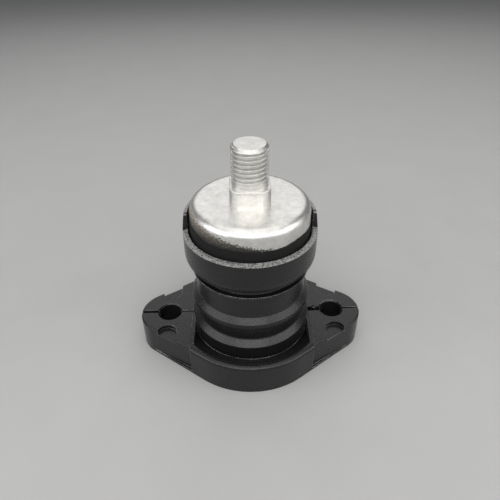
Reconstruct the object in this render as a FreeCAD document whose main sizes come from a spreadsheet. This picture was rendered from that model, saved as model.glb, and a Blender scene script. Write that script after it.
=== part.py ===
"""Engine mount: a rubber spring bonded to a threaded stud plate, held in a split housing.

The housing is two moulded shells that meet at the plane Y = 0.  Each shell is one piece:
half of a two-hole flange, half of a ribbed tube and half of the cup around the stud plate.
The rubber spring fills the shells and carries the stud plate in the cup.

Frame: millimetres, +Z up along the stud, X through the two bolt holes, the front shell
towards -Y.  The origin is the centre of the mounting face.
"""
import FreeCAD
import Part
import Sketcher
import math
import os
import re

document = FreeCAD.newDocument("engine_mount")

# ---------------------------------------------------------------------------
# Driving dimensions
# ---------------------------------------------------------------------------
SIZES = {
    # flange
    "hole_spacing": 52.0,
    "hole_diameter": 7.2,
    "hole_chamfer": 0.35,
    "lobe_radius": 9.1,
    "flange_radius": 24.5,
    "ledge_height": 0.9,
    "ear_inset": 1.2,
    "ear_height": 10.0,
    "ear_chamfer": 0.35,
    "block_rise": 0.3,
    "block_margin": 0.45,
    "block_chamfer": 0.8,
    "recess_radius": 3.0,
    "recess_depth": 1.3,
    # dish sunk in the top of the block, round the foot of the tube
    "dish_depth": 3.3,
    "dish_rim_margin": 1.6,
    "dish_side_margin": 1.0,
    # parting gap between the shells, and its wider stretches in the ears
    "slit_width": 0.5,
    "left_tip_slit": 1.1,
    "left_inner_slit": 0.7,
    "right_tip_slit": 0.8,
    "right_inner_slit": 2.0,
    "nub_radius": 0.7,
    "nub_offset": 2.0,
    # ribbed tube
    "tube_radius": 16.3,
    "tube_wall": 2.7,
    "foot_step": 1.75,
    "foot_rise": 1.4,
    "rib_depth": 1.5,
    "rib_spacing": 8.8,
    "rib_slope_height": 2.0,
    "rib_nose_height": 1.4,
    "rib_undercut_height": 1.6,
    "lip_depth": 0.9,
    "lip_rise": 9.9,
    "lip_thickness": 0.5,
    "neck_depth": 0.7,
    "neck_height": 0.8,
    # cup
    "cup_overhang": 2.75,
    "cup_wall": 1.5,
    "cup_depth": 11.5,
    "cup_floor_inset": 2.65,
    "cup_floor_thickness": 1.9,
    "cup_bowl_inset": 0.65,
    "cup_bowl_rise": 3.2,
    "fin_height": 4.5,
    "fin_thickness": 1.0,
    "back_rim_lean": 0.55,
    # rubber spring
    "spring_recess": 0.6,
    "skirt_height": 6.3,
    "skirt_thickness": 0.22,
    # stud plate
    "plate_clearance": 0.75,
    "plate_lift": 8.1,
    "plate_seat": 1.0,
    "plate_height": 12.1,
    "plate_edge": 2.7,
    "plate_edge_inset": 0.75,
    "wrench_flats": 11.0,
    "wrench_corners": 12.9,
    "wrench_height": 4.8,
    "thread_radius": 5.0,
    "thread_chamfer": 0.8,
    "stud_height": 16.1,
}

# ---------------------------------------------------------------------------
# Heights and radii that follow from them, as expressions
# ---------------------------------------------------------------------------
ON_AXIS = "0"
BLOCK_TOP = "ear_height + block_rise"
FOOT_TOP = BLOCK_TOP + " + foot_rise"
RIB_TOP = FOOT_TOP + " + rib_spacing"
LIP_TOP = RIB_TOP + " + lip_rise"
CUP_FLOOR = LIP_TOP + " + neck_height"
FRONT_RIM = CUP_FLOOR + " + cup_depth"
BACK_RIM = FRONT_RIM + " + fin_height"
PLATE_BOTTOM = CUP_FLOOR + " + plate_lift"
SPRING_TOP = PLATE_BOTTOM + " + plate_seat"
SKIRT_TOP = PLATE_BOTTOM + " + skirt_height"
PLATE_TOP = PLATE_BOTTOM + " + plate_height"
STUD_TOP = PLATE_TOP + " + stud_height"

FOOT_RADIUS = "tube_radius + foot_step"
RIB_RADIUS = "tube_radius + rib_depth"
LIP_RADIUS = "tube_radius + lip_depth"
NECK_RADIUS = "tube_radius - neck_depth"
BORE_RADIUS = "tube_radius - tube_wall"
CUP_RADIUS = "tube_radius + cup_overhang"
CUP_BORE_RADIUS = CUP_RADIUS + " - cup_wall"
PLATE_RADIUS = CUP_BORE_RADIUS + " - plate_clearance"
SKIRT_RADIUS = PLATE_RADIUS + " + skirt_thickness"
BLOCK_HALF_WIDTH = FOOT_RADIUS + " + block_margin"
FLANGE_LENGTH = "hole_spacing + 2 * lobe_radius"

sheet = document.addObject("Spreadsheet::Sheet", "Sizes")
for row, (alias, number) in enumerate(SIZES.items(), start=1):
    sheet.set("A%d" % row, alias)
    sheet.set("B%d" % row, str(number))
    sheet.setAlias("B%d" % row, alias)
document.recompute()


def bound(text):
    """An expression on the sheet's cells, from one written with their aliases alone."""
    return re.sub(r"([a-z_]+)", r"Sizes.\1", text)


def value(text):
    """The number that an expression on the sheet's aliases gives now."""
    result = sheet.evalExpression(bound(text))
    return float(getattr(result, "Value", result))


def bind(target, prop, text):
    """Ties a property to the sheet."""
    target.setExpression(prop, bound(text))


# ---------------------------------------------------------------------------
# Sketches and features
# ---------------------------------------------------------------------------
def new_body(label):
    """An empty body with a label of its own."""
    body = document.addObject("PartDesign::Body", label)
    body.Label = label
    return body


def sketch_on(body, name, role):
    """A sketch on one of the body's own origin planes."""
    sketch = body.newObject("Sketcher::SketchObject", name)
    plane = [item for item in body.Origin.OriginFeatures if item.Role == role][0]
    sketch.AttachmentSupport = [(plane, "")]
    sketch.MapMode = "FlatFace"
    return sketch


def place_point(sketch, edge, axis, text):
    """Holds the start of an edge at a distance from the sketch's origin along one axis."""
    if text == ON_AXIS:
        other_axis = -2 if axis == "DistanceX" else -1
        sketch.addConstraint(Sketcher.Constraint("PointOnObject", edge, 1, other_axis))
        return
    index = sketch.addConstraint(Sketcher.Constraint(axis, -1, 1, edge, 1, value(text)))
    bind(sketch, "Constraints[%d]" % index, text)


def revolved_outline(body, name, corners):
    """Turns a closed outline of (radius, height) corners about Z."""
    sketch = sketch_on(body, name + "_profile", "XZ_Plane")
    points = [FreeCAD.Vector(value(radius), value(height), 0) for radius, height in corners]
    for index, point in enumerate(points):
        following = points[(index + 1) % len(points)]
        sketch.addGeometry(Part.LineSegment(point, following), False)
    for index in range(len(points)):
        following = (index + 1) % len(points)
        sketch.addConstraint(Sketcher.Constraint("Coincident", index, 2, following, 1))
    for index, (radius, height) in enumerate(corners):
        place_point(sketch, index, "DistanceX", radius)
        place_point(sketch, index, "DistanceY", height)
    turned = body.newObject("PartDesign::Revolution", name)
    turned.Profile = sketch
    turned.ReferenceAxis = (sketch, ["V_Axis"])
    turned.Angle = 360.0
    document.recompute()


def chamfered(body, name, base, edge_names, size):
    """Chamfers edges of the body's last feature."""
    chamfer = body.newObject("PartDesign::Chamfer", name)
    chamfer.Base = (base, edge_names)
    bind(chamfer, "Size", size)
    document.recompute()
    return chamfer


def hidden_tool(kind, name, **sizes):
    """A Part primitive whose properties are tied to the sheet."""
    tool = document.addObject(kind, name)
    for prop, text in sizes.items():
        bind(tool, prop, text)
    return tool


def placed(tool, east="0", north="0", up="0"):
    """Ties a tool's position to the sheet."""
    for prop, text in (("x", east), ("y", north), ("z", up)):
        bind(tool, "Placement.Base." + prop, text)
    return tool


def shared(name, base, tool):
    """What two objects have in common."""
    common = document.addObject("Part::Common", name)
    common.Base = base
    common.Tool = tool
    return common


def joined(name, pieces):
    """The union of several objects."""
    union = document.addObject("Part::MultiFuse", name)
    union.Shapes = pieces
    union.Refine = True
    return union


def subtracted(name, base, tool):
    """One object less another."""
    cut = document.addObject("Part::Cut", name)
    cut.Base = base
    cut.Tool = tool
    cut.Refine = True
    return cut


# ---------------------------------------------------------------------------
# Flange
# ---------------------------------------------------------------------------
def flange_pad(label, main_radius, height):
    """A pad of the two-lobed flange outline: a circle and two lobes, joined by tangents."""
    body = new_body(label)
    sketch = sketch_on(body, label + "_outline", "XY_Plane")
    radius = value(main_radius)
    lobe = value("lobe_radius")
    reach = value("hole_spacing / 2")
    tilt = math.acos((radius - lobe) / reach)
    axis = FreeCAD.Vector(0, 0, 1)
    arcs = [
        (0, radius, math.pi + tilt, 2 * math.pi - tilt),
        (reach, lobe, -tilt, tilt),
        (0, radius, tilt, math.pi - tilt),
        (-reach, lobe, math.pi - tilt, math.pi + tilt),
    ]
    shapes = []
    for centre, size, start, end in arcs:
        circle = Part.Circle(FreeCAD.Vector(centre, 0, 0), axis, size)
        shapes.append(Part.ArcOfCircle(circle, start, end))
    for number, arc in enumerate(shapes):
        sketch.addGeometry(arc, False)
        following = shapes[(number + 1) % len(shapes)]
        sketch.addGeometry(Part.LineSegment(arc.EndPoint, following.StartPoint), False)
    count = 2 * len(shapes)
    for edge in range(count):
        following = (edge + 1) % count
        sketch.addConstraint(Sketcher.Constraint("Tangent", edge, 2, following, 1))
    front, right, back, left = 0, 2, 4, 6
    sketch.addConstraint(Sketcher.Constraint("Coincident", front, 3, -1, 1))
    sketch.addConstraint(Sketcher.Constraint("Coincident", back, 3, -1, 1))
    sketch.addConstraint(Sketcher.Constraint("PointOnObject", right, 3, -1))
    sketch.addConstraint(Sketcher.Constraint("PointOnObject", left, 3, -1))
    sketch.addConstraint(Sketcher.Constraint("Equal", front, back))
    sketch.addConstraint(Sketcher.Constraint("Equal", right, left))
    for kind, arguments, text in (
        ("Radius", (front,), main_radius),
        ("Radius", (right,), "lobe_radius"),
        ("DistanceX", (-1, 1, right, 3), "hole_spacing / 2"),
        ("DistanceX", (left, 3, -1, 1), "hole_spacing / 2"),
    ):
        index = sketch.addConstraint(Sketcher.Constraint(kind, *arguments, value(text)))
        bind(sketch, "Constraints[%d]" % index, text)
    pad = body.newObject("PartDesign::Pad", label + "_pad")
    pad.Profile = sketch
    bind(pad, "Length", height)
    document.recompute()
    return body, pad


def top_edges(shape, height):
    """Names of the edges that lie in the plane at a height."""
    names = []
    for number, edge in enumerate(shape.Edges, start=1):
        box = edge.BoundBox
        if abs(box.ZMin - height) < 1e-5 and abs(box.ZMax - height) < 1e-5:
            names.append("Edge%d" % number)
    return names


def make_flange():
    """The ears, the thicker dished block under the tube and the ledge round their foot."""
    ledge, _ = flange_pad("flange_ledge", "flange_radius", "ledge_height")
    ears, ear_pad = flange_pad("flange_ears", "flange_radius - ear_inset", "ear_height")
    edges = top_edges(ear_pad.Shape, value("ear_height"))
    chamfered(ears, "ear_edge_chamfer", ear_pad, edges, "ear_chamfer")
    block, block_pad = flange_pad("flange_block", "flange_radius", BLOCK_TOP)
    edges = top_edges(block_pad.Shape, value(BLOCK_TOP))
    chamfered(block, "block_edge_chamfer", block_pad, edges, "block_chamfer")
    centre = shared("flange_centre", block, strip("block_limits", BLOCK_HALF_WIDTH))
    dished_ears = subtracted("dished_ears", ears, make_dish("ear"))
    dished_centre = subtracted("dished_centre", centre, make_dish("block"))
    return [ledge, dished_ears, dished_centre]


def strip(name, half_width):
    """A box across the flange, as high as the block."""
    width = "2 * (%s)" % half_width
    box = hidden_tool("Part::Box", name, Length=width, Width="2 * flange_radius", Height=BLOCK_TOP)
    return placed(box, east="-(%s)" % half_width, north="-flange_radius")


def make_dish(label):
    """The space of the dish: a cone that rises from the tube's foot, between two straight sides."""
    body = new_body(label + "_dish_cone")
    foot = BLOCK_TOP + " - dish_depth"
    corners = [
        (ON_AXIS, foot),
        (FOOT_RADIUS, foot),
        ("flange_radius - dish_rim_margin", BLOCK_TOP),
        (ON_AXIS, BLOCK_TOP),
    ]
    revolved_outline(body, label + "_dish_outline", corners)
    sides = strip(label + "_dish_sides", BLOCK_HALF_WIDTH + " - dish_side_margin")
    return shared(label + "_dish", body, sides)


# ---------------------------------------------------------------------------
# Tube and cup
# ---------------------------------------------------------------------------
def make_tube():
    """The stepped foot, the ribbed tube, its neck and the cup, as one solid of revolution."""
    body = new_body("tube_and_cup")
    rib_nose_foot = RIB_TOP + " - rib_nose_height"
    corners = [
        (ON_AXIS, ON_AXIS),
        (FOOT_RADIUS, ON_AXIS),
        (FOOT_RADIUS, FOOT_TOP),
        ("tube_radius", FOOT_TOP + " + rib_slope_height"),
        ("tube_radius", rib_nose_foot + " - rib_undercut_height"),
        (RIB_RADIUS, rib_nose_foot),
        (RIB_RADIUS, RIB_TOP),
        ("tube_radius", RIB_TOP + " + rib_slope_height"),
        ("tube_radius", LIP_TOP + " - lip_thickness"),
        (LIP_RADIUS, LIP_TOP + " - lip_thickness"),
        (LIP_RADIUS, LIP_TOP),
        (NECK_RADIUS, LIP_TOP),
        (NECK_RADIUS, CUP_FLOOR),
        (CUP_RADIUS + " - cup_floor_inset", CUP_FLOOR),
        (CUP_RADIUS + " - cup_bowl_inset", CUP_FLOOR + " + cup_bowl_rise"),
        (CUP_RADIUS, CUP_FLOOR + " + 2 * cup_bowl_rise"),
        (CUP_RADIUS, FRONT_RIM),
        (CUP_RADIUS + " - back_rim_lean", BACK_RIM),
        (ON_AXIS, BACK_RIM),
    ]
    revolved_outline(body, "tube_outline", corners)
    return body


def bore_corners():
    """Outline corners shared by the bore of the shells and the spring that fills it."""
    floor = CUP_FLOOR + " + cup_floor_thickness"
    return [
        (BORE_RADIUS, floor),
        (CUP_BORE_RADIUS + " - cup_wall", floor),
        (CUP_BORE_RADIUS, floor + " + cup_wall"),
    ]


def make_bore():
    """The space inside the shells."""
    body = new_body("bore")
    corners = [(ON_AXIS, ON_AXIS), (BORE_RADIUS, ON_AXIS)]
    corners += bore_corners()
    corners += [(CUP_BORE_RADIUS, BACK_RIM), (ON_AXIS, BACK_RIM)]
    revolved_outline(body, "bore_outline", corners)
    return body


# ---------------------------------------------------------------------------
# Holes, recesses and slits in the ears
# ---------------------------------------------------------------------------
def bolt_hole(name, side):
    """A bolt hole with a chamfered mouth; side is 1 at +X and -1 at -X."""
    east = "%d * hole_spacing / 2" % side
    radius = "hole_diameter / 2"
    drill = hidden_tool("Part::Cylinder", name + "_drill", Radius=radius, Height="ear_height")
    placed(drill, east=east)
    mouth = hidden_tool(
        "Part::Cone",
        name + "_mouth",
        Radius1=radius,
        Radius2=radius + " + hole_chamfer",
        Height="hole_chamfer",
    )
    placed(mouth, east=east, up="ear_height - hole_chamfer")
    return [drill, mouth]


def edge_recess(name, side, face):
    """A round-ended recess in the top of an ear, open to its front or back edge."""
    east = "%d * hole_spacing / 2" % side
    floor = "ear_height - recess_depth"
    round_end = hidden_tool("Part::Cylinder", name + "_end", Radius="recess_radius", Height="ear_height")
    placed(round_end, east=east, north="%d * lobe_radius" % face, up=floor)
    wide = "2 * recess_radius"
    mouth = hidden_tool("Part::Box", name + "_mouth", Length=wide, Width=wide, Height="ear_height")
    outward = "lobe_radius" if face > 0 else "-lobe_radius - " + wide
    placed(mouth, east=east + " - recess_radius", north=outward, up=floor)
    return [round_end, mouth]


def slit(name, start, length, width):
    """A stretch of the parting gap in an ear, along X."""
    gap = hidden_tool("Part::Box", name, Length=length, Width=width, Height="ear_height")
    return placed(gap, east=start, north="-(%s) / 2" % width)


def make_slits():
    """The wider stretches of the parting gap, and the moulded nub that stands in one."""
    tip = "lobe_radius"
    inner = "hole_spacing / 2 - (%s)" % BLOCK_HALF_WIDTH
    left_tip = slit("left_tip", "-hole_spacing / 2 - lobe_radius", tip, "left_tip_slit")
    left_inner = slit("left_inner", "-hole_spacing / 2", inner, "left_inner_slit")
    right_tip = slit("right_tip", "hole_spacing / 2", tip, "right_tip_slit")
    right_inner = slit("right_inner", BLOCK_HALF_WIDTH, inner, "right_inner_slit")
    nub = hidden_tool("Part::Cylinder", "slit_nub", Radius="nub_radius", Height="ear_height")
    placed(nub, east=BLOCK_HALF_WIDTH + " + nub_offset", north="right_inner_slit / 2")
    return [left_tip, left_inner, right_tip, subtracted("right_inner_gap", right_inner, nub)]


# ---------------------------------------------------------------------------
# Shells
# ---------------------------------------------------------------------------
def make_housing():
    """Both shells before they are parted."""
    solid = joined("housing_solid", make_flange() + [make_tube()])
    cutters = [make_bore()]
    for name, side in (("right_hole", 1), ("left_hole", -1)):
        cutters += bolt_hole(name, side)
        for end, face in (("back", 1), ("front", -1)):
            cutters += edge_recess("%s_%s_recess" % (name, end), side, face)
    cutters += make_slits()
    return subtracted("housing", solid, joined("housing_cutters", cutters))


def half_space(name, face):
    """A box over everything on one side of the parting gap."""
    box = hidden_tool(
        "Part::Box",
        name,
        Length=FLANGE_LENGTH,
        Width="flange_radius - slit_width / 2",
        Height=BACK_RIM,
    )
    north = "slit_width / 2" if face > 0 else "-flange_radius"
    return placed(box, east="-(%s) / 2" % FLANGE_LENGTH, north=north)


def make_shells(housing):
    """The back shell, and the front shell with its lower rim between two end fins."""
    back = shared("back_shell", housing, half_space("back_half", 1))
    full_front = shared("front_half_shell", housing, half_space("front_half", -1))
    window = hidden_tool(
        "Part::Box",
        "front_window",
        Length="2 * (%s)" % CUP_RADIUS,
        Width=CUP_RADIUS + " - slit_width / 2 - fin_thickness",
        Height="fin_height",
    )
    placed(window, east="-(%s)" % CUP_RADIUS, north="-(%s)" % CUP_RADIUS, up=FRONT_RIM)
    front = subtracted("front_shell", full_front, window)
    return [front, back]


# ---------------------------------------------------------------------------
# Rubber spring
# ---------------------------------------------------------------------------
def make_spring():
    """The rubber between the shells and the stud plate, with the thin skirt up the plate."""
    body = new_body("rubber_spring")
    corners = [(ON_AXIS, "spring_recess"), (BORE_RADIUS, "spring_recess")]
    corners += bore_corners()
    corners += [
        (CUP_BORE_RADIUS, SPRING_TOP),
        (SKIRT_RADIUS, SPRING_TOP),
        (SKIRT_RADIUS, SKIRT_TOP),
        (PLATE_RADIUS, SKIRT_TOP),
        (PLATE_RADIUS, PLATE_BOTTOM),
        (ON_AXIS, PLATE_BOTTOM),
    ]
    revolved_outline(body, "spring_outline", corners)
    return body


# ---------------------------------------------------------------------------
# Stud plate
# ---------------------------------------------------------------------------
def make_stud_plate():
    """A turned plate and stud in one piece, with a four-flat shank for a wrench."""
    body = new_body("stud_plate")
    corners = [
        (ON_AXIS, PLATE_BOTTOM),
        (PLATE_RADIUS, PLATE_BOTTOM),
        (PLATE_RADIUS, PLATE_TOP + " - plate_edge"),
        (PLATE_RADIUS + " - plate_edge_inset", PLATE_TOP + " - plate_edge_inset"),
        (PLATE_RADIUS + " - plate_edge", PLATE_TOP),
        ("thread_radius", PLATE_TOP),
        ("thread_radius", STUD_TOP + " - thread_chamfer"),
        ("thread_radius - thread_chamfer", STUD_TOP),
        (ON_AXIS, STUD_TOP),
    ]
    revolved_outline(body, "stud_outline", corners)
    add_wrench_shank(body)
    return body


def add_wrench_shank(body):
    """Pads the shank: a square whose corners are turned to a circle."""
    sketch = sketch_on(body, "shank_outline", "XY_Plane")
    bind(sketch, "AttachmentOffset.Base.z", PLATE_TOP)
    corner = value("wrench_corners / 2")
    flat = value("wrench_flats / 2")
    half_turn = math.acos(flat / corner)
    axis = FreeCAD.Vector(0, 0, 1)
    arcs = []
    for quarter in range(4):
        start = quarter * math.pi / 2 + half_turn
        end = (quarter + 1) * math.pi / 2 - half_turn
        arcs.append(Part.ArcOfCircle(Part.Circle(FreeCAD.Vector(), axis, corner), start, end))
    for number, arc in enumerate(arcs):
        sketch.addGeometry(arc, False)
        following = arcs[(number + 1) % len(arcs)]
        sketch.addGeometry(Part.LineSegment(arc.EndPoint, following.StartPoint), False)
    count = 2 * len(arcs)
    for edge in range(count):
        following = (edge + 1) % count
        sketch.addConstraint(Sketcher.Constraint("Coincident", edge, 2, following, 1))
    for number in range(len(arcs)):
        sketch.addConstraint(Sketcher.Constraint("Coincident", 2 * number, 3, -1, 1))
        flat_kind = "Horizontal" if number % 2 == 0 else "Vertical"
        sketch.addConstraint(Sketcher.Constraint(flat_kind, 2 * number + 1))
        if number:
            sketch.addConstraint(Sketcher.Constraint("Equal", 0, 2 * number))
    index = sketch.addConstraint(Sketcher.Constraint("Radius", 0, corner))
    bind(sketch, "Constraints[%d]" % index, "wrench_corners / 2")
    sides = ((1, "DistanceY", 1), (3, "DistanceX", -1), (5, "DistanceY", -1), (7, "DistanceX", 1))
    for line, direction, sign in sides:
        index = sketch.addConstraint(Sketcher.Constraint(direction, -1, 1, line, 1, sign * flat))
        bind(sketch, "Constraints[%d]" % index, "%d * wrench_flats / 2" % sign)
    pad = body.newObject("PartDesign::Pad", "wrench_shank")
    pad.Profile = sketch
    bind(pad, "Length", "wrench_height")
    document.recompute()


# ---------------------------------------------------------------------------
# Build, check and write
# ---------------------------------------------------------------------------
def checked(nodes):
    """Stops if any object failed or any sub-part is not a sound solid."""
    for item in document.Objects:
        if "Invalid" in item.State or "Error" in item.State:
            raise RuntimeError("%s did not build: %s" % (item.Label, item.State))
    for node in nodes:
        shape = node.Shape
        if shape.isNull() or not shape.isValid() or shape.Volume <= 0:
            raise RuntimeError("%s is not a sound solid" % node.Label)


def main():
    """Builds every sub-part and writes it as a STEP file."""
    nodes = [make_stud_plate(), make_spring()] + make_shells(make_housing())
    document.recompute()
    checked(nodes)
    os.makedirs("parts", exist_ok=True)
    for node in nodes:
        node.Shape.exportStep("parts/%s.step" % node.Label)
        box = node.Shape.BoundBox
        print(
            "%-14s solids %d volume %9.1f  x %.2f..%.2f  y %.2f..%.2f  z %.2f..%.2f"
            % (node.Label, len(node.Shape.Solids), node.Shape.Volume,
               box.XMin, box.XMax, box.YMin, box.YMax, box.ZMin, box.ZMax)
        )


main()
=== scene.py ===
"""Looks of the engine mount: moulded housing shells, rubber spring and the threaded stud plate.

The pieces are built in millimetres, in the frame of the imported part, and scaled to metres.
"""

import math

import bmesh
import bpy
from mathutils import Matrix, Vector, noise


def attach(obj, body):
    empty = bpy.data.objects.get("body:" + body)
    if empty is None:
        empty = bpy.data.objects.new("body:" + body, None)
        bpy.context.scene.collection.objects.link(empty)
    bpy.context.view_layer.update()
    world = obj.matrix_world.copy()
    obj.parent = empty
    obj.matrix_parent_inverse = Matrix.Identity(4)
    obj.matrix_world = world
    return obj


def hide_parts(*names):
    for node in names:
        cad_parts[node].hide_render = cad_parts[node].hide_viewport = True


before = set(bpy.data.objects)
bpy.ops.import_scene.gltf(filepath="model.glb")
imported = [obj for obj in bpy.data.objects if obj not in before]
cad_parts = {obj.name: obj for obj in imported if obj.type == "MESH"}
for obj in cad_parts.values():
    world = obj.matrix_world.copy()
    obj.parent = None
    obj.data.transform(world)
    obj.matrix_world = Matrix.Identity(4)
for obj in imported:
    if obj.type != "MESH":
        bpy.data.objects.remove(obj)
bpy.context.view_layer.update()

MM = 0.001

# ---------------------------------------------------------------------------
# Driving dimensions, in millimetres
# ---------------------------------------------------------------------------
# Flange: a block under the tube, and an ear round each bolt hole
HOLE_X = 26.0
HOLE_RADIUS = 3.6
HOLE_CHAMFER = 0.35
LOBE_RADIUS = 9.1
FLANGE_RADIUS = 24.5
LEDGE_HEIGHT = 0.9
EAR_INSET = 1.2
EAR_HEIGHT = 10.0
EAR_ROUND = 0.5
RECESS_RADIUS = 3.0
RECESS_DEPTH = 1.3

# Parting gap, and its wider stretches in the ears
SLIT = 0.5
LEFT_TIP_SLIT = 1.1
LEFT_INNER_SLIT = 0.7
RIGHT_TIP_SLIT = 0.96
RIGHT_TIP_SLIT_END = 0.56
RIGHT_INNER_SLIT = 2.0
NUB_RADIUS = 0.7
NUB_CHAMFER = 0.2
NUB_OFFSET = 2.0

# Radii of the tube and the cup
TUBE_RADIUS = 16.3
FOOT_RADIUS = TUBE_RADIUS + 1.75
RIB_RADIUS = TUBE_RADIUS + 1.5
LIP_RADIUS = TUBE_RADIUS + 0.9
NECK_RADIUS = TUBE_RADIUS - 0.7
BORE_RADIUS = TUBE_RADIUS - 2.7
CUP_RADIUS = TUBE_RADIUS + 2.75
CUP_WALL = 1.5
CUP_BORE_RADIUS = CUP_RADIUS - CUP_WALL
CUP_FLOOR_RADIUS = CUP_RADIUS - 2.65

# Block and dish
BLOCK_HALF_WIDTH = FOOT_RADIUS + 0.45
BLOCK_HEIGHT = EAR_HEIGHT + 0.3
BLOCK_ROUND = 1.3
BLOCK_SIDE_ROUND = 0.3
DISH_FOOT_HEIGHT = BLOCK_HEIGHT - 3.3
DISH_RIM_RADIUS = FLANGE_RADIUS - 1.6
DISH_HALF_WIDTH = BLOCK_HALF_WIDTH - 1.0

# Heights of the tube and the cup
FOOT_TOP = BLOCK_HEIGHT + 1.4
RIB_TOP = FOOT_TOP + 8.8
RIB_SLOPE = 2.0
RIB_NOSE = 1.4
RIB_UNDERCUT = 1.6
LIP_TOP = RIB_TOP + 9.9
LIP_THICKNESS = 0.5
CUP_FLOOR_HEIGHT = LIP_TOP + 0.8
CUP_FLOOR_THICKNESS = 1.9
CUP_FLOOR_INSIDE = CUP_FLOOR_HEIGHT + CUP_FLOOR_THICKNESS
CUP_SHOULDER_HEIGHT = CUP_FLOOR_HEIGHT + 2.9
CUP_SHOULDER_ROUND = 9.7
FRONT_RIM_HEIGHT = CUP_FLOOR_HEIGHT + 11.5
FRONT_RIM_FALL = 0.45
FRONT_RIM_INSET = 0.25
BACK_RIM_HEIGHT = FRONT_RIM_HEIGHT + 4.5
BACK_RIM_LEAN = 0.55
FIN_THICKNESS = 1.0

# Stud plate
PLATE_RADIUS = CUP_BORE_RADIUS - 0.75
PLATE_BOTTOM = CUP_FLOOR_HEIGHT + 8.1
PLATE_TOP = PLATE_BOTTOM + 12.1
PLATE_ROUND = 2.7
WRENCH_FLATS = 11.0
WRENCH_CORNERS = 12.9
WRENCH_ROUND = 0.35
WRENCH_TOP = PLATE_TOP + 4.8
STUD_TOP = PLATE_TOP + 16.1
THREAD_RADIUS = 5.0
THREAD_PITCH = 1.25
THREAD_DEPTH = 0.66
THREAD_ROOT_SHARE = 0.06
THREAD_FLANK_SHARE = 0.54
THREAD_CHAMFER = 0.8
THREAD_START = STUD_TOP - 0.35
RUN_OUT_TOP = WRENCH_TOP + 2.7
RUN_OUT_FOOT = WRENCH_TOP + 0.7

# Rubber spring, its skirt, and the film of rubber above the skirt
SPRING_RECESS = 0.6
SPRING_TOP = PLATE_BOTTOM + 1.0
SPRING_CLEARANCE = 0.02
SKIRT_TOP = PLATE_BOTTOM + 6.3
SKIRT_THICKNESS = 0.22
SKIRT_SEAT = 0.3
RAGGED_FOOT = SPRING_TOP + 1.5
FILM_REACH = 5.6
FILM_TOP = SKIRT_TOP + 5.3

# How far cutters stand past a surface, how far joined pieces reach into one another, and a
# distance that lies beyond the whole mount
BEYOND = 1.0
OVERLAP = 0.5
FAR = 80.0


# ---------------------------------------------------------------------------
# Mesh helpers
# ---------------------------------------------------------------------------
def mesh_object(name, points, faces):
    """A mesh object from points in millimetres."""
    mesh = bpy.data.meshes.new(name)
    mesh.from_pydata([(x * MM, y * MM, z * MM) for x, y, z in points], [], faces)
    mesh.validate()
    piece = bpy.data.objects.new(name, mesh)
    bpy.context.scene.collection.objects.link(piece)
    return piece


def outward(piece):
    """Turns the faces of a closed mesh outwards."""
    work = bmesh.new()
    work.from_mesh(piece.data)
    bmesh.ops.recalc_face_normals(work, faces=work.faces)
    work.to_mesh(piece.data)
    work.free()
    return piece


def rounded_path(corners, steps=6):
    """A path of (radius, height) points in which each (radius, height, round) corner is an arc."""
    path = []
    count = len(corners)
    for index, (x, z, size) in enumerate(corners):
        here = Vector((x, z))
        back = Vector(corners[index - 1][:2]) - here
        ahead = Vector(corners[(index + 1) % count][:2]) - here
        if size <= 0 or back.length < 1e-6 or ahead.length < 1e-6:
            path.append((x, z))
            continue
        half = back.angle(ahead) / 2
        if half > math.radians(89):
            path.append((x, z))
            continue
        reach = min(size / math.tan(half), 0.49 * back.length, 0.98 * ahead.length)
        size = reach * math.tan(half)
        back.normalize()
        ahead.normalize()
        centre = here + (back + ahead).normalized() * (size / math.sin(half))
        start = here + back * reach - centre
        end = here + ahead * reach - centre
        turn = start.angle_signed(end)
        count_here = max(2, math.ceil(steps * abs(turn) / (math.pi / 2)) + 1)
        for step in range(count_here + 1):
            angle = -turn * step / count_here
            spoke = Matrix.Rotation(angle, 2) @ start
            path.append(tuple(centre + spoke))
    return path


def lathe(name, path, segments=256):
    """A closed solid of revolution from a closed loop of (radius, height) points."""
    points = []
    for step in range(segments):
        angle = 2 * math.pi * step / segments
        points += [(r * math.cos(angle), r * math.sin(angle), z) for r, z in path]
    size = len(path)
    faces = []
    for step in range(segments):
        following = (step + 1) % segments
        for index in range(size):
            beyond = (index + 1) % size
            faces.append((
                step * size + index,
                following * size + index,
                following * size + beyond,
                step * size + beyond,
            ))
    piece = mesh_object(name, points, faces)
    work = bmesh.new()
    work.from_mesh(piece.data)
    bmesh.ops.remove_doubles(work, verts=work.verts, dist=1e-7)
    flat = [face for face in work.faces if face.calc_area() < 1e-13]
    bmesh.ops.delete(work, geom=flat, context="FACES_ONLY")
    work.to_mesh(piece.data)
    work.free()
    return outward(piece)


def stacked(name, rings):
    """A closed solid through rings of points, one above the other, with flat ends."""
    size = len(rings[0])
    points = [point for ring in rings for point in ring]
    faces = [tuple(range(size))[::-1], tuple(range((len(rings) - 1) * size, len(rings) * size))]
    for level in range(len(rings) - 1):
        for index in range(size):
            beyond = (index + 1) % size
            faces.append((
                level * size + index,
                level * size + beyond,
                (level + 1) * size + beyond,
                (level + 1) * size + index,
            ))
    return outward(mesh_object(name, points, faces))


def block_between(name, low, high):
    """A plain box between two corners, used only as a cutter."""
    corners = [(low[0], low[1]), (high[0], low[1]), (high[0], high[1]), (low[0], high[1])]
    return stacked(name, [[(x, y, z) for x, y in corners] for z in (low[2], high[2])])


def boolean(base, operation, *others):
    """Joins, cuts or intersects one closed mesh with others, which are used up."""
    for other in others:
        step = base.modifiers.new("step", "BOOLEAN")
        step.operation = operation
        step.solver = "EXACT"
        step.object = other
        graph = bpy.context.evaluated_depsgraph_get()
        result = bpy.data.meshes.new_from_object(base.evaluated_get(graph))
        base.modifiers.clear()
        base.data = result
        bpy.data.objects.remove(other)
    return base


def copy_of(piece, name):
    """A second object with its own mesh."""
    twin = bpy.data.objects.new(name, piece.data.copy())
    bpy.context.scene.collection.objects.link(twin)
    return twin


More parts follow.
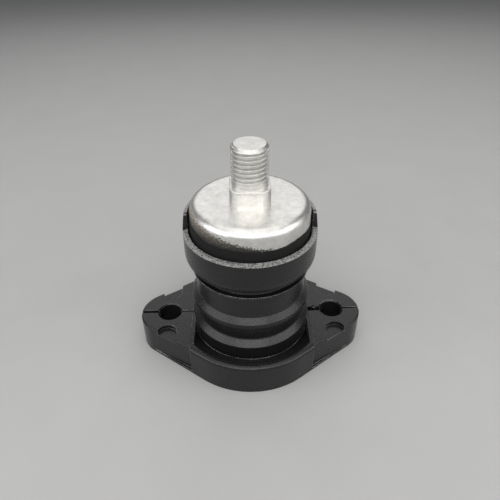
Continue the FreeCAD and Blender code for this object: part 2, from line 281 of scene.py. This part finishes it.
def finished(piece, material, sharp=32.0):
    """Smooth shading with sharp edges kept, the material, and the ride on the frame."""
    mesh = piece.data
    mesh.materials.clear()
    mesh.materials.append(material)
    mesh.polygons.foreach_set("use_smooth", [True] * len(mesh.polygons))
    mesh.set_sharp_from_angle(angle=math.radians(sharp))
    weighted = piece.modifiers.new("weighted", "WEIGHTED_NORMAL")
    weighted.keep_sharp = True
    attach(piece, "root")
    return piece


# ---------------------------------------------------------------------------
# Materials
# ---------------------------------------------------------------------------
def new_material(name):
    """A node material and its shader."""
    material = bpy.data.materials.new(name)
    material.use_nodes = True
    return material, material.node_tree.nodes["Principled BSDF"]


def noise_node(tree, scale, detail=4.0, roughness=0.55):
    """Noise in object coordinates; scale counts features in a metre."""
    place = tree.nodes.new("ShaderNodeTexCoord")
    texture = tree.nodes.new("ShaderNodeTexNoise")
    texture.inputs["Scale"].default_value = scale
    texture.inputs["Detail"].default_value = detail
    texture.inputs["Roughness"].default_value = roughness
    tree.links.new(place.outputs["Object"], texture.inputs["Vector"])
    return texture.outputs["Fac"]


def object_axes(tree):
    """The three object coordinates, in metres."""
    place = tree.nodes.new("ShaderNodeTexCoord")
    axes = tree.nodes.new("ShaderNodeSeparateXYZ")
    tree.links.new(place.outputs["Object"], axes.inputs["Vector"])
    return axes.outputs


def ranged(tree, source, low_in, high_in, low, high):
    """Maps a value from one range to another, held within it."""
    mapper = tree.nodes.new("ShaderNodeMapRange")
    mapper.inputs["From Min"].default_value = low_in
    mapper.inputs["From Max"].default_value = high_in
    mapper.inputs["To Min"].default_value = low
    mapper.inputs["To Max"].default_value = high
    tree.links.new(source, mapper.inputs["Value"])
    return mapper.outputs["Result"]


def step_at(tree, height, level, below, above, blur=0.1):
    """One value below a level in millimetres and another above it, blurred a little."""
    return ranged(tree, height, level * MM, (level + blur) * MM, below, above)


def combined(tree, operation, first, second):
    """Two values joined by one arithmetic step."""
    node = tree.nodes.new("ShaderNodeMath")
    node.operation = operation
    for socket, source in zip(node.inputs, (first, second)):
        tree.links.new(source, socket)
    return node.outputs["Value"]


def tinted(tree, source, dark, light):
    """A colour between two, by a value."""
    ramp = tree.nodes.new("ShaderNodeValToRGB")
    ramp.color_ramp.elements[0].color = (*dark, 1)
    ramp.color_ramp.elements[1].color = (*light, 1)
    tree.links.new(source, ramp.inputs["Fac"])
    return ramp.outputs["Color"]


def edged(tree, radius):
    """The surface's normal with its edges softened over a radius in millimetres."""
    bevel = tree.nodes.new("ShaderNodeBevel")
    bevel.samples = 6
    bevel.inputs["Radius"].default_value = radius * MM
    return bevel.outputs["Normal"]


def bumped(tree, height, strength, distance, normal=None):
    """A bump over a normal; distance is in millimetres."""
    bump = tree.nodes.new("ShaderNodeBump")
    bump.inputs["Strength"].default_value = strength
    bump.inputs["Distance"].default_value = distance * MM
    tree.links.new(height, bump.inputs["Height"])
    if normal:
        tree.links.new(normal, bump.inputs["Normal"])
    return bump.outputs["Normal"]


def edge_mask(tree, radius):
    """One along sharp edges within a radius in millimetres, and zero away from them."""
    geometry = tree.nodes.new("ShaderNodeNewGeometry")
    dot = tree.nodes.new("ShaderNodeVectorMath")
    dot.operation = "DOT_PRODUCT"
    tree.links.new(edged(tree, radius), dot.inputs[0])
    tree.links.new(geometry.outputs["Normal"], dot.inputs[1])
    return ranged(tree, dot.outputs["Value"], 0.99, 0.88, 0.0, 1.0)


def rim_tops(tree):
    """One on the upward faces of the cup's front rim, back rim and fins, where a painted highlight is
    laid.
    """
    height = object_axes(tree)["Z"]
    front_low = step_at(tree, height, FRONT_RIM_HEIGHT - FRONT_RIM_FALL - 0.15, 0.0, 1.0)
    front_high = step_at(tree, height, FRONT_RIM_HEIGHT + 0.1, 1.0, 0.0)
    back = step_at(tree, height, BACK_RIM_HEIGHT - 0.3, 0.0, 1.0)
    geometry = tree.nodes.new("ShaderNodeNewGeometry")
    facing = tree.nodes.new("ShaderNodeSeparateXYZ")
    tree.links.new(geometry.outputs["True Normal"], facing.inputs["Vector"])
    upward = ranged(tree, facing.outputs["Z"], 0.5, 0.7, 0.0, 1.0)
    levels = combined(tree, "ADD", combined(tree, "MULTIPLY", front_low, front_high), back)
    return combined(tree, "MULTIPLY", levels, upward)


def blended(tree, share, first, second):
    """One colour laid over another by a share."""
    blend = tree.nodes.new("ShaderNodeMix")
    blend.data_type = "RGBA"
    tree.links.new(share, blend.inputs["Factor"])
    tree.links.new(first, blend.inputs["A"])
    tree.links.new(second, blend.inputs["B"])
    return blend.outputs["Result"]


def housing_plastic():
    """Satin black moulded plastic with a fine grain, and pale painted highlights along the sharp edges
    and on the rim tops.
    """
    material, shader = new_material("housing_plastic")
    tree = material.node_tree
    shader.inputs["Specular IOR Level"].default_value = 0.38
    shader.inputs["Sheen Weight"].default_value = 0.04
    shader.inputs["Sheen Roughness"].default_value = 0.3
    grain = noise_node(tree, 2000, 3.0, 0.7)
    cloud = noise_node(tree, 160, 3.0)
    black = tinted(tree, cloud, (0.004, 0.004, 0.0042), (0.009, 0.009, 0.0094))
    # Pale colour painted along sharp edges and on the rim tops as a painted highlight, broken up by the
    # grain
    highlight_paint = tinted(tree, grain, (0.14, 0.14, 0.138), (0.70, 0.70, 0.69))
    patches = ranged(tree, noise_node(tree, 130, 2.0), 0.4, 0.62, 0.12, 0.8)
    edge_grain = ranged(tree, grain, 0.3, 0.6, 0.3, 1.0)
    # Thin lines of painted highlight along the sharp edges
    edges = combined(tree, "MULTIPLY", edge_mask(tree, 0.24), edge_grain)
    edges = combined(tree, "MULTIPLY", edges, patches)
    # Painted highlight on the upward rim tops, standing in for light from overhead
    rim_grain = ranged(tree, grain, 0.3, 0.65, 0.08, 0.62)
    rim_highlights = combined(tree, "MULTIPLY", rim_tops(tree), rim_grain)
    painted_highlights = combined(tree, "MAXIMUM", edges, rim_highlights)
    tree.links.new(blended(tree, painted_highlights, black, highlight_paint), shader.inputs["Base Color"])
    tree.links.new(ranged(tree, grain, 0.35, 0.65, 0.20, 0.36), shader.inputs["Roughness"])
    coarse = noise_node(tree, 700, 2.0)
    normal = bumped(tree, coarse, 0.4, 0.06, edged(tree, 0.2))
    tree.links.new(bumped(tree, grain, 0.7, 0.08, normal), shader.inputs["Normal"])
    return material


def spring_rubber():
    """Matt black rubber with a fine grain."""
    material, shader = new_material("spring_rubber")
    tree = material.node_tree
    grain = noise_node(tree, 2600, 4.0)
    cloud = noise_node(tree, 220, 3.0)
    shader.inputs["Specular IOR Level"].default_value = 0.2
    black = tinted(tree, cloud, (0.004, 0.004, 0.004), (0.009, 0.009, 0.009))
    tree.links.new(black, shader.inputs["Base Color"])
    tree.links.new(ranged(tree, grain, 0.3, 0.7, 0.55, 0.8), shader.inputs["Roughness"])
    tree.links.new(bumped(tree, grain, 0.8, 0.06, edged(tree, 0.1)), shader.inputs["Normal"])
    return material


def rubber_film(tree):
    """Share and colour of the ragged film of rubber, which climbs the plate's side at the left."""
    axes = object_axes(tree)
    low_down = ranged(tree, axes["Z"], (SKIRT_TOP + FILM_REACH) * MM, SKIRT_TOP * MM, 0.0, 1.0)
    leftward = ranged(tree, axes["X"], PLATE_RADIUS * MM, -PLATE_RADIUS * MM, -0.62, 0.71)
    speck = noise_node(tree, 2400, 4.0, 0.8)
    share = combined(tree, "ADD", combined(tree, "ADD", low_down, leftward), speck)
    share = ranged(tree, share, 1.26, 1.38, 0.0, 1.0)
    share = combined(tree, "MULTIPLY", share, step_at(tree, axes["Z"], FILM_TOP, 1.0, 0.0, 0.2))
    shade = combined(tree, "ADD", low_down, ranged(tree, speck, 0.3, 0.7, -0.35, 0.35))
    shade = ranged(tree, shade, 0.1, 0.85, 0.0, 1.0)
    return share, tinted(tree, shade, (0.22, 0.195, 0.155), (0.010, 0.009, 0.008)), speck


def plated_steel():
    """Bright zinc-plated steel, mottled, with the film of rubber up the plate's side."""
    material, shader = new_material("plated_steel")
    tree = material.node_tree
    grain = noise_node(tree, 1500, 4.0)
    cloud = ranged(tree, noise_node(tree, 420, 6.0, 0.75), 0.3, 0.7, 0.0, 1.0)
    metal = tinted(tree, cloud, (0.56, 0.55, 0.53), (0.80, 0.79, 0.765))
    share, film, speck = rubber_film(tree)
    tree.links.new(blended(tree, share, metal, film), shader.inputs["Base Color"])
    tree.links.new(ranged(tree, share, 0.0, 1.0, 1.0, 0.0), shader.inputs["Metallic"])
    gloss = ranged(tree, grain, 0.3, 0.7, 0.30, 0.46)
    dulled = combined(tree, "ADD", gloss, ranged(tree, share, 0.0, 1.0, 0.0, 0.25))
    tree.links.new(dulled, shader.inputs["Roughness"])
    normal = bumped(tree, grain, 0.25, 0.02, edged(tree, 0.1))
    tree.links.new(bumped(tree, speck, 0.4, 0.04, normal), shader.inputs["Normal"])
    return material


# ---------------------------------------------------------------------------
# Flange
# ---------------------------------------------------------------------------
def flange_outline(radius, lobe, steps=64):
    """The two-lobed outline, anticlockwise: a circle and two lobes joined by tangents."""
    tilt = math.acos((radius - lobe) / HOLE_X)
    arcs = (
        (HOLE_X, lobe, -tilt, tilt),
        (0.0, radius, tilt, math.pi - tilt),
        (-HOLE_X, lobe, math.pi - tilt, math.pi + tilt),
        (0.0, radius, math.pi + tilt, 2 * math.pi - tilt),
    )
    outline = []
    for centre, size, start, end in arcs:
        for step in range(steps + 1):
            angle = start + (end - start) * step / steps
            outline.append((centre + size * math.cos(angle), size * math.sin(angle)))
    return outline


def quarter_round(size, steps=6):
    """(inset, rise) steps over a rounded edge, from its foot to its top."""
    for step in range(steps + 1):
        angle = math.pi / 2 * step / steps
        yield size * (1 - math.cos(angle)), size * math.sin(angle)


def ring_at(height, inset=0.0, radius=FLANGE_RADIUS):
    """The flange's outline at a height, drawn in by an inset."""
    return [(x, y, height) for x, y in flange_outline(radius - inset, LOBE_RADIUS - inset)]


def make_ears():
    """The ears with the ledge round their foot, as one lofted solid."""
    wall = FLANGE_RADIUS - EAR_INSET
    ledge_slope = 0.02
    rings = [
        ring_at(0.0),
        ring_at(LEDGE_HEIGHT),
        ring_at(LEDGE_HEIGHT + ledge_slope, radius=wall),
    ]
    for inset, rise in quarter_round(EAR_ROUND):
        rings.append(ring_at(EAR_HEIGHT - EAR_ROUND + rise, inset, wall))
    return stacked("ears", rings)


def make_block():
    """The thicker block under the tube, cut off square at both sides."""
    rings = [ring_at(0.0)]
    for inset, rise in quarter_round(BLOCK_ROUND, 10):
        rings.append(ring_at(BLOCK_HEIGHT - BLOCK_ROUND + rise, inset))
    half = BLOCK_HALF_WIDTH
    corner_foot = BLOCK_HEIGHT - BLOCK_SIDE_ROUND
    corner = list(quarter_round(BLOCK_SIDE_ROUND))
    section = [(-half, -BEYOND), (half, -BEYOND)]
    section += [(half - inset, corner_foot + rise) for inset, rise in corner]
    section += [(inset - half, corner_foot + rise) for inset, rise in reversed(corner)]
    limits = stacked("block_limits", [[(x, y, z) for x, z in section] for y in (-FAR, FAR)])
    return boolean(stacked("block", rings), "INTERSECT", limits)


def make_dish():
    """The space of the dish round the tube's foot, between two straight sides."""
    slope = (DISH_RIM_RADIUS - FOOT_RADIUS) / (BLOCK_HEIGHT - DISH_FOOT_HEIGHT)
    path = [
        (0.0, DISH_FOOT_HEIGHT),
        (FOOT_RADIUS, DISH_FOOT_HEIGHT),
        (DISH_RIM_RADIUS + slope * BEYOND, BLOCK_HEIGHT + BEYOND),
        (0.0, BLOCK_HEIGHT + BEYOND),
    ]
    sides = block_between("dish_sides", (-DISH_HALF_WIDTH, -FAR, 0.0), (DISH_HALF_WIDTH, FAR, FAR))
    return boolean(lathe("dish", path), "INTERSECT", sides)


def bolt_hole(side):
    """A bolt hole's space with its chamfered mouth."""
    mouth = HOLE_RADIUS + HOLE_CHAMFER
    path = [
        (0.0, -BEYOND),
        (HOLE_RADIUS, -BEYOND),
        (HOLE_RADIUS, EAR_HEIGHT - HOLE_CHAMFER),
        (mouth, EAR_HEIGHT),
        (mouth, EAR_HEIGHT + BEYOND),
        (0.0, EAR_HEIGHT + BEYOND),
    ]
    drill = lathe("bolt_hole", path, 96)
    drill.data.transform(Matrix.Translation((side * HOLE_X * MM, 0, 0)))
    return drill


def edge_recess(side, face, steps=24):
    """The space of a round-ended recess, open to the front or back edge of an ear."""
    outline = []
    for step in range(steps + 1):
        angle = math.pi * step / steps
        outline.append((RECESS_RADIUS * math.cos(angle), -RECESS_RADIUS * math.sin(angle)))
    open_end = 2 * RECESS_RADIUS
    outline += [(-RECESS_RADIUS, open_end), (RECESS_RADIUS, open_end)]
    rings = []
    for height in (EAR_HEIGHT - RECESS_DEPTH, EAR_HEIGHT + BEYOND):
        rings.append([(side * HOLE_X + x, face * (LOBE_RADIUS + y), height) for x, y in outline])
    return stacked("recess", rings)


def slit(start, end, width, end_width=None):
    """A wider stretch of the parting gap in an ear, from one width to another."""
    half = width / 2
    end_half = (end_width or width) / 2
    corners = [(start, -half), (end, -end_half), (end, end_half), (start, half)]
    return stacked("slit", [[(x, y, z) for x, y in corners] for z in (-BEYOND, EAR_HEIGHT + BEYOND)])


def nub():
    """The small moulded nub that stands in the widest slit."""
    path = [
        (0.0, 0.0),
        (NUB_RADIUS, 0.0),
        (NUB_RADIUS, EAR_HEIGHT - NUB_CHAMFER),
        (NUB_RADIUS - NUB_CHAMFER, EAR_HEIGHT),
        (0.0, EAR_HEIGHT),
    ]
    post = lathe("nub", path, 32)
    place = Vector((BLOCK_HALF_WIDTH + NUB_OFFSET, RIGHT_INNER_SLIT / 2, 0))
    post.data.transform(Matrix.Translation(place * MM))
    return post


def make_flange():
    """Block, ears and ledge with the dish, holes, recesses and slits cut."""
    flange = boolean(make_ears(), "UNION", make_block())
    flange = boolean(flange, "DIFFERENCE", make_dish())
    cutters = []
    for side in (-1, 1):
        cutters.append(bolt_hole(side))
        for face in (-1, 1):
            cutters.append(edge_recess(side, face))
    tip = HOLE_X + LOBE_RADIUS + BEYOND
    cutters.append(slit(-tip, -HOLE_X, LEFT_TIP_SLIT))
    cutters.append(slit(-HOLE_X, -BLOCK_HALF_WIDTH, LEFT_INNER_SLIT))
    cutters.append(slit(HOLE_X, tip, RIGHT_TIP_SLIT, RIGHT_TIP_SLIT_END))
    cutters.append(slit(BLOCK_HALF_WIDTH, HOLE_X, RIGHT_INNER_SLIT))
    flange = boolean(flange, "DIFFERENCE", *cutters)
    return boolean(flange, "UNION", nub())


# ---------------------------------------------------------------------------
# Tube, cup and shells
# ---------------------------------------------------------------------------
def make_tube():
    """The ribbed tube with its neck and cup, bored through."""
    nose_foot = RIB_TOP - RIB_NOSE
    corners = [
        (FOOT_RADIUS, 0.0, 0.0),
        (FOOT_RADIUS, FOOT_TOP, 0.5),
        (TUBE_RADIUS, FOOT_TOP + RIB_SLOPE, 0.9),
        (TUBE_RADIUS, nose_foot - RIB_UNDERCUT, 0.4),
        (RIB_RADIUS, nose_foot, 0.5),
        (RIB_RADIUS, RIB_TOP, 0.5),
        (TUBE_RADIUS, RIB_TOP + RIB_SLOPE, 0.9),
        (TUBE_RADIUS, LIP_TOP - LIP_THICKNESS, 0.1),
        (LIP_RADIUS, LIP_TOP - LIP_THICKNESS, 0.0),
        (LIP_RADIUS, LIP_TOP, 0.0),
        (NECK_RADIUS, LIP_TOP, 0.1),
        (NECK_RADIUS, CUP_FLOOR_HEIGHT, 0.1),
        (CUP_FLOOR_RADIUS, CUP_FLOOR_HEIGHT, 0.0),
        (CUP_RADIUS, CUP_SHOULDER_HEIGHT, CUP_SHOULDER_ROUND),
        (CUP_RADIUS, FRONT_RIM_HEIGHT, 3.0),
        (CUP_RADIUS - BACK_RIM_LEAN, BACK_RIM_HEIGHT, 0.3),
        (CUP_BORE_RADIUS, BACK_RIM_HEIGHT, 0.2),
        (CUP_BORE_RADIUS, CUP_FLOOR_INSIDE + CUP_WALL, 0.3),
        (CUP_BORE_RADIUS - CUP_WALL, CUP_FLOOR_INSIDE, 0.2),
        (BORE_RADIUS, CUP_FLOOR_INSIDE, 0.0),
        (BORE_RADIUS, 0.0, 0.0),
    ]
    return lathe("tube", rounded_path(corners))


def half_space(face):
    """A box over everything on one side of the parting gap."""
    low, high = sorted((face * SLIT / 2, face * FAR))
    return block_between("half", (-FAR, low, -BEYOND), (FAR, high, FAR))


def rim_slope(back):
    """The space over the front rim's top, which falls a little outwards."""
    inner = CUP_BORE_RADIUS + FRONT_RIM_INSET
    outer = CUP_RADIUS + BEYOND
    fall = FRONT_RIM_FALL * (outer - inner) / (CUP_RADIUS - inner)
    path = [
        (inner, FRONT_RIM_HEIGHT),
        (outer, FRONT_RIM_HEIGHT - fall),
        (outer, FRONT_RIM_HEIGHT + BEYOND),
        (inner, FRONT_RIM_HEIGHT + BEYOND),
    ]
    reach = block_between("rim_reach", (-FAR, -FAR, 0.0), (FAR, back, FAR))
    return boolean(lathe("rim_slope", path), "INTERSECT", reach)


def make_shells(material):
    """The two moulded shells."""
    bore_top = BLOCK_HEIGHT + BEYOND
    bore = [(0.0, -BEYOND), (BORE_RADIUS, -BEYOND), (BORE_RADIUS, bore_top), (0.0, bore_top)]
    flange = boolean(make_flange(), "DIFFERENCE", lathe("bore", bore))
    housing = boolean(flange, "UNION", make_tube())
    front = copy_of(housing, "front_shell_moulding")
    front = boolean(front, "INTERSECT", half_space(-1))
    window_back = -SLIT / 2 - FIN_THICKNESS
    window = block_between("window", (-FAR, -FAR, FRONT_RIM_HEIGHT), (FAR, window_back, FAR))
    front = boolean(front, "DIFFERENCE", window, rim_slope(window_back))
    back = boolean(housing, "INTERSECT", half_space(1))
    back.name = "back_shell_moulding"
    for piece, node in ((front, "front_shell"), (back, "back_shell")):
        finished(piece, material)
        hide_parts(node)


# ---------------------------------------------------------------------------
# Rubber spring
# ---------------------------------------------------------------------------
def spring_path(rows=24):
    """The spring's outline, with a row of points up the skirt for each step of its ragged edge."""
    skirt = PLATE_RADIUS + SKIRT_THICKNESS
    clear = SPRING_CLEARANCE
    corners = [
        (0.0, SPRING_RECESS, 0.0),
        (BORE_RADIUS - clear, SPRING_RECESS, 0.0),
        (BORE_RADIUS - clear, CUP_FLOOR_INSIDE + clear, 0.0),
        (CUP_BORE_RADIUS - CUP_WALL, CUP_FLOOR_INSIDE + clear, 0.0),
        (CUP_BORE_RADIUS - clear, CUP_FLOOR_INSIDE + clear + CUP_WALL, 0.0),
        (CUP_BORE_RADIUS - clear, SPRING_TOP, 0.1),
        (skirt, SPRING_TOP, 0.3),
    ]
    path = rounded_path(corners)
    for row in range(1, rows + 1):
        path.append((skirt, SPRING_TOP + (SKIRT_TOP - SPRING_TOP) * row / rows))
    path += [
        (PLATE_RADIUS + clear, SKIRT_TOP + 0.1),
        (PLATE_RADIUS - SKIRT_SEAT, SKIRT_TOP - 0.4),
        (PLATE_RADIUS - SKIRT_SEAT, PLATE_BOTTOM + clear),
        (0.0, PLATE_BOTTOM + clear),
    ]
    return path


def make_ragged(spring):
    """Raises and lowers the skirt's top edge unevenly, and roughens the skirt's side."""
    for vertex in spring.data.vertices:
        x, y, z = vertex.co / MM
        if z < RAGGED_FOOT or z > SKIRT_TOP + 0.3:
            continue
        share = (z - RAGGED_FOOT) / (SKIRT_TOP - RAGGED_FOOT)
        angle = math.atan2(y, x)
        spot = Vector((math.cos(angle) * 30, math.sin(angle) * 30, 0))
        fine = noise.noise(spot * 2.3) + 0.6 * noise.noise(spot * 6.1)
        slow = noise.noise(spot * 0.05 + Vector((4.2, 0, 0)))
        vertex.co.z += MM * share * (0.28 * fine + 0.9 * slow)
        lump = noise.noise(Vector((spot.x * 1.5, spot.y * 1.5, z * 2.5)))
        radius = math.hypot(x, y)
        if radius > PLATE_RADIUS:
            grown = (radius + 0.05 * lump) / radius
            vertex.co.x *= grown
            vertex.co.y *= grown


def make_spring(material):
    """The rubber between the shells, with its ragged skirt up the side of the plate."""
    spring = lathe("spring_moulding", spring_path(), 720)
    make_ragged(spring)
    finished(spring, material, 50.0)
    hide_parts("rubber_spring")


# ---------------------------------------------------------------------------
# Stud plate
# ---------------------------------------------------------------------------
def make_plate():
    """The turned plate with its rounded edge."""
    corners = [
        (0.0, PLATE_BOTTOM, 0.0),
        (PLATE_RADIUS - 0.3, PLATE_BOTTOM, 0.3),
        (PLATE_RADIUS, PLATE_BOTTOM + 0.3, 0.2),
        (PLATE_RADIUS, PLATE_TOP, PLATE_ROUND),
        (0.0, PLATE_TOP, 0.0),
    ]
    return lathe("plate", rounded_path(corners, 16), 360)


def make_shank():
    """The shank: a turned cylinder cut by four flats, with its top edge rounded."""
    corner = WRENCH_CORNERS / 2
    flat = WRENCH_FLATS / 2
    rings = []
    levels = [(0.0, PLATE_TOP - OVERLAP)]
    levels += [(inset, WRENCH_TOP - WRENCH_ROUND + rise) for inset, rise in quarter_round(WRENCH_ROUND)]
    steps = 144
    for inset, height in levels:
        ring = []
        for step in range(steps):
            angle = 2 * math.pi * step / steps
            nearest = round(angle / (math.pi / 2)) * math.pi / 2
            reach = min(corner - inset, (flat - inset * 0.5) / math.cos(angle - nearest))
            ring.append((reach * math.cos(angle), reach * math.sin(angle), height))
        rings.append(ring)
    return stacked("shank", rings)


def thread_radius(angle, height):
    """Radius of the threaded stud at an angle and height."""
    turns = (height - THREAD_START) / THREAD_PITCH - angle / (2 * math.pi)
    phase = abs((turns % 1.0) - 0.5) * 2
    flank = min(max((phase - THREAD_ROOT_SHARE) / THREAD_FLANK_SHARE, 0.0), 1.0)
    deep = THREAD_DEPTH * (1 - flank)
    fade = min(max((height - RUN_OUT_FOOT) / (RUN_OUT_TOP - RUN_OUT_FOOT), 0.0), 1.0)
    cut = deep - THREAD_DEPTH * (1 - fade)
    threaded = THREAD_RADIUS - max(cut, 0.0)
    chamfered = THREAD_RADIUS - THREAD_CHAMFER + (STUD_TOP - height)
    return min(threaded, chamfered)


def make_stud():
    """The stud with its helical thread, run out above the shank and chamfered at the tip."""
    start = WRENCH_TOP - OVERLAP
    rows = 230
    steps = 120
    rings = []
    for row in range(rows + 1):
        height = start + (STUD_TOP - start) * row / rows
        ring = []
        for step in range(steps):
            angle = 2 * math.pi * step / steps
            radius = thread_radius(angle, height)
            ring.append((radius * math.cos(angle), radius * math.sin(angle), height))
        rings.append(ring)
    return stacked("stud", rings)


def make_stud_plate(material):
    """Plate, shank and threaded stud, joined into one turned piece."""
    piece = boolean(make_plate(), "UNION", make_shank())
    piece = boolean(piece, "UNION", make_stud())
    piece.name = "threaded_stud_plate"
    finished(piece, material, 40.0)
    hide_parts("stud_plate")


# ---------------------------------------------------------------------------
# Stage
# ---------------------------------------------------------------------------
def make_floor():
    """A plain pale floor with soft, broad clouds in its paint."""
    half = 3000.0
    corners = [(-half, -half, 0), (half, -half, 0), (half, half, 0), (-half, half, 0)]
    floor = mesh_object("floor", corners, [(0, 1, 2, 3)])
    material, shader = new_material("floor_paint")
    tree = material.node_tree
    paint = tinted(tree, noise_node(tree, 40, 3.0), (0.34, 0.34, 0.34), (0.375, 0.375, 0.37))
    tree.links.new(paint, shader.inputs["Base Color"])
    shader.inputs["Roughness"].default_value = 0.7
    floor.data.materials.append(material)


def softbox(name, place, target, size, power, tint=(1.0, 1.0, 1.0)):
    """A rectangular soft light aimed at a point; places and sizes are in millimetres."""
    light = bpy.data.lights.new(name, "AREA")
    light.shape = "RECTANGLE"
    light.size = size[0] * MM
    light.size_y = size[1] * MM
    light.energy = power
    light.color = tint
    holder = bpy.data.objects.new(name, light)
    holder.location = Vector(place) * MM
    aim = Vector(target) * MM - holder.location
    holder.rotation_euler = aim.to_track_quat("-Z", "Y").to_euler()
    bpy.context.scene.collection.objects.link(holder)


def make_lights():
    """Softboxes overhead, behind for the flat tops, above the camera, and at both sides."""
    softbox("overhead", (0, -20, 430), (0, 0, 30), (560, 480), 1.15, (1.0, 0.99, 0.97))
    softbox("behind", (0, 420, 360), (0, 0, 30), (700, 260), 0.75, (1.0, 0.99, 0.98))
    softbox("front", (0, -500, 370), (0, 0, 20), (640, 340), 2.4, (1.0, 0.99, 0.98))
    softbox("left", (-440, -200, 240), (0, 0, 20), (520, 320), 1.35, (0.98, 0.99, 1.0))
    softbox("right", (440, -200, 240), (0, 0, 20), (520, 320), 1.35, (1.0, 0.99, 0.97))
    world = bpy.data.worlds.new("studio")
    world.use_nodes = True
    background = world.node_tree.nodes["Background"]
    background.inputs["Color"].default_value = (0.9, 0.92, 0.95, 1)
    background.inputs["Strength"].default_value = 0.17
    bpy.context.scene.world = world


def make_camera():
    """The camera in front of the mount and above it, looking down on the stud."""
    target = Vector((-0.09, 0.0, 34.0)) * MM
    place = Vector((-2.6, -111.3, 115.9)) * MM
    roll = math.radians(-0.36)
    lens = bpy.data.cameras.new("camera")
    lens.sensor_width = 36.0
    lens.lens = 33.83
    lens.clip_start = 0.005
    holder = bpy.data.objects.new("camera", lens)
    turn = (target - place).to_track_quat("-Z", "Y").to_matrix()
    turn = turn @ Matrix.Rotation(roll, 3, "Z")
    holder.matrix_world = Matrix.Translation(place) @ turn.to_4x4()
    bpy.context.scene.collection.objects.link(holder)
    bpy.context.scene.camera = holder


# ---------------------------------------------------------------------------
# Build
# ---------------------------------------------------------------------------
make_shells(housing_plastic())
make_spring(spring_rubber())
make_stud_plate(plated_steel())
make_floor()
make_lights()
make_camera()
bpy.context.scene.view_settings.view_transform = "Standard"
